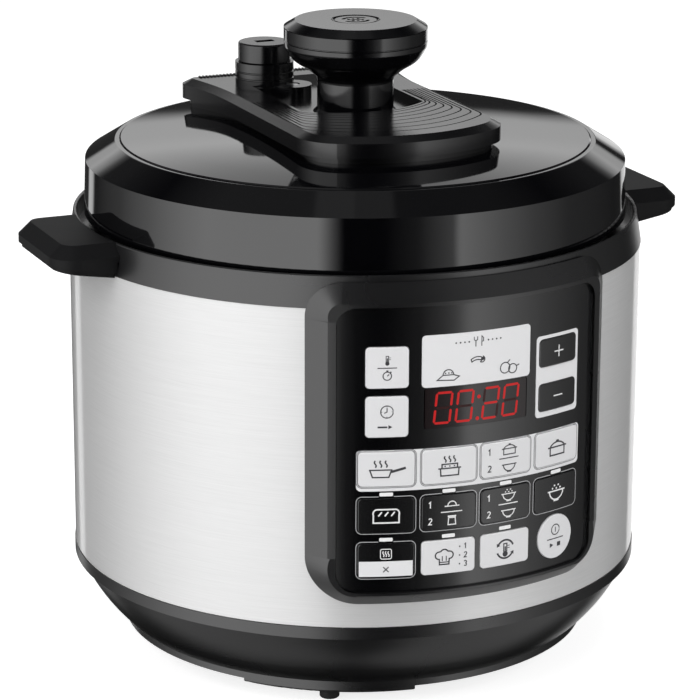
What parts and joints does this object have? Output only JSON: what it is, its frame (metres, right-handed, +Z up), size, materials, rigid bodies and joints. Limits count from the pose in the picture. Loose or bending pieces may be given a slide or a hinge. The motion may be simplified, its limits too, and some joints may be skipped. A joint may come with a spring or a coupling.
{
  "type": "electric pressure cooker",
  "caption": "Electric pressure cooker with a twist-lock lid, steam valve, inner pot and a curved front panel of push keys.",
  "frame": {"origin": "on the floor, under the middle of the cooker", "axes": "+X out through the right-hand handle seen from the front, +Y to the back, +Z up; the control panel faces -Y"},
  "size_m": [0.342, 0.302, 0.3226],
  "materials": {
    "black_satin": "satin",
    "black_gloss": "gloss",
    "black_panel": "gloss",
    "steel": "brushed",
    "inner_steel": "satin",
    "key_grey": "satin",
    "key_dark": "gloss",
    "inlay_white": "satin",
    "foot_rubber": "matte",
    "silicone": "matte",
    "pot_coating": "non-stick coating",
    "cast_aluminium": "cast",
    "heater_steel": "satin",
    "smoked_window": "smoked, gloss",
    "display_black": "gloss",
    "indicator_clear": "frosted",
    "board_green": "satin",
    "screw_zinc": "zinc plated",
    "cup_plastic": "gloss",
    "spring_steel": "satin"
  },
  "bodies": {
    "housing": {"base_shell": "black_satin", "bottom_plate": "black_satin", "foot_pads": "black_satin", "rubber_feet": "foot_rubber", "body_screws": "screw_zinc", "steel_sleeve": "steel", "top_collar": "black_satin", "handle_right": "black_satin", "handle_left": "black_satin", "handle_covers": "black_satin", "outer_vessel": "inner_steel", "heat_shield": "inner_steel", "heater_plate": "cast_aluminium", "heater_tube": "heater_steel", "sensor_spring": "spring_steel", "thermal_fuse": "heater_steel", "pressure_switch": "black_satin", "power_board": "board_green", "control_bezel": "black_satin", "control_panel": "black_panel", "menu_inlays": "inlay_white", "indicator_lenses": "indicator_clear", "display_lens": "smoked_window", "display_module": "display_black", "key_mat": "silicone", "control_board": "board_green", "control_housing": "black_satin", "power_inlet": "black_satin"},
    "sensor": {"temperature_sensor": "inner_steel"},
    "pot": {"inner_pot": "pot_coating"},
    "liner": {"liner_plate": "inner_steel", "gasket": "silicone"},
    "lid": {"lid_pressure_cover": "inner_steel", "lid_shell": "black_gloss", "lid_screws": "screw_zinc", "lid_top_disc": "black_gloss", "lid_bridge": "black_gloss", "knob_body": "black_gloss", "knob_cap": "black_gloss", "valve_guard": "black_gloss", "liner_nut": "silicone"},
    "valve": {"valve_cap": "black_gloss"},
    "float": {"float_valve": "inner_steel"},
    "cup": {"condensate_cup": "cup_plastic"},
    "key_row1_1": {"key_row1_1": "key_grey"},
    "key_row1_2": {"key_row1_2": "key_grey"},
    "key_row1_3": {"key_row1_3": "key_grey"},
    "key_row1_4": {"key_row1_4": "key_grey"},
    "key_row2_1": {"key_row2_1": "key_dark"},
    "key_row2_2": {"key_row2_2": "key_dark"},
    "key_row2_3": {"key_row2_3": "key_dark"},
    "key_row2_4": {"key_row2_4": "key_dark"},
    "key_row3_1": {"key_row3_1": "key_grey"},
    "key_row3_2": {"key_row3_2": "key_grey"},
    "key_row3_3": {"key_row3_3": "key_grey"},
    "key_start": {"key_start": "key_grey"},
    "key_temperature": {"key_temperature": "key_grey"},
    "key_delay": {"key_delay": "key_grey"},
    "key_plus": {"key_plus": "key_dark"},
    "key_minus": {"key_minus": "key_dark"}
  },
  "joints": [
    {"name": "lid_lift", "type": "slide", "parent": "housing", "child": "liner", "axis": [0, 0, 1], "range_m": [0, 0.4]},
    {"name": "lid_twist", "type": "hinge", "parent": "liner", "child": "lid", "pos_m": [0, 0, 0.23], "axis": [0, 0, 1], "range_deg": [0, 30]},
    {"name": "pot_lift", "type": "slide", "parent": "housing", "child": "pot", "axis": [0, 0, 1], "range_m": [0, 0.2]},
    {"name": "valve_turn", "type": "hinge", "parent": "lid", "child": "valve", "pos_m": [-0.022, 0.068, 0.29], "axis": [0, 0, 1], "range_deg": [0, 90]},
    {"name": "float_rise", "type": "slide", "parent": "lid", "child": "float", "axis": [0, 0, 1], "range_m": [0, 0.004]},
    {"name": "sensor_press", "type": "slide", "parent": "housing", "child": "sensor", "axis": [0, 0, -1], "range_m": [0, 0.003], "stiffness_N_per_m": 600, "springref_m": -0.002, "deforming": ["sensor_spring"]},
    {"name": "cup_slide", "type": "slide", "parent": "housing", "child": "cup", "axis": [0, 1, 0], "range_m": [0, 0.03]},
    {"name": "key_row1_1_press", "type": "slide", "parent": "housing", "child": "key_row1_1", "axis": [0.3015, 0.9535, 0], "range_m": [0, 0.0008], "stiffness_N_per_m": 400},
    {"name": "key_row1_2_press", "type": "slide", "parent": "housing", "child": "key_row1_2", "axis": [0.1002, 0.995, 0], "range_m": [0, 0.0008], "stiffness_N_per_m": 400},
    {"name": "key_row1_3_press", "type": "slide", "parent": "housing", "child": "key_row1_3", "axis": [-0.1002, 0.995, 0], "range_m": [0, 0.0008], "stiffness_N_per_m": 400},
    {"name": "key_row1_4_press", "type": "slide", "parent": "housing", "child": "key_row1_4", "axis": [-0.3015, 0.9535, 0], "range_m": [0, 0.0008], "stiffness_N_per_m": 400},
    {"name": "key_row2_1_press", "type": "slide", "parent": "housing", "child": "key_row2_1", "axis": [0.3015, 0.9535, 0], "range_m": [0, 0.0008], "stiffness_N_per_m": 400},
    {"name": "key_row2_2_press", "type": "slide", "parent": "housing", "child": "key_row2_2", "axis": [0.1002, 0.995, 0], "range_m": [0, 0.0008], "stiffness_N_per_m": 400},
    {"name": "key_row2_3_press", "type": "slide", "parent": "housing", "child": "key_row2_3", "axis": [-0.1002, 0.995, 0], "range_m": [0, 0.0008], "stiffness_N_per_m": 400},
    {"name": "key_row2_4_press", "type": "slide", "parent": "housing", "child": "key_row2_4", "axis": [-0.3015, 0.9535, 0], "range_m": [0, 0.0008], "stiffness_N_per_m": 400},
    {"name": "key_row3_1_press", "type": "slide", "parent": "housing", "child": "key_row3_1", "axis": [0.3015, 0.9535, 0], "range_m": [0, 0.0008], "stiffness_N_per_m": 400},
    {"name": "key_row3_2_press", "type": "slide", "parent": "housing", "child": "key_row3_2", "axis": [0.1002, 0.995, 0], "range_m": [0, 0.0008], "stiffness_N_per_m": 400},
    {"name": "key_row3_3_press", "type": "slide", "parent": "housing", "child": "key_row3_3", "axis": [-0.1002, 0.995, 0], "range_m": [0, 0.0008], "stiffness_N_per_m": 400},
    {"name": "key_start_press", "type": "slide", "parent": "housing", "child": "key_start", "axis": [-0.3015, 0.9535, 0], "range_m": [0, 0.0008], "stiffness_N_per_m": 400},
    {"name": "key_temperature_press", "type": "slide", "parent": "housing", "child": "key_temperature", "axis": [0.3007, 0.9537, 0], "range_m": [0, 0.0008], "stiffness_N_per_m": 400},
    {"name": "key_delay_press", "type": "slide", "parent": "housing", "child": "key_delay", "axis": [0.3007, 0.9537, 0], "range_m": [0, 0.0008], "stiffness_N_per_m": 400},
    {"name": "key_plus_press", "type": "slide", "parent": "housing", "child": "key_plus", "axis": [-0.2999, 0.954, 0], "range_m": [0, 0.0008], "stiffness_N_per_m": 400},
    {"name": "key_minus_press", "type": "slide", "parent": "housing", "child": "key_minus", "axis": [-0.2999, 0.954, 0], "range_m": [0, 0.0008], "stiffness_N_per_m": 400}
  ],
  "couplings": [
    {"joint": "pot_lift", "follows": "lid_lift", "ratio": 0.5}
  ]
}
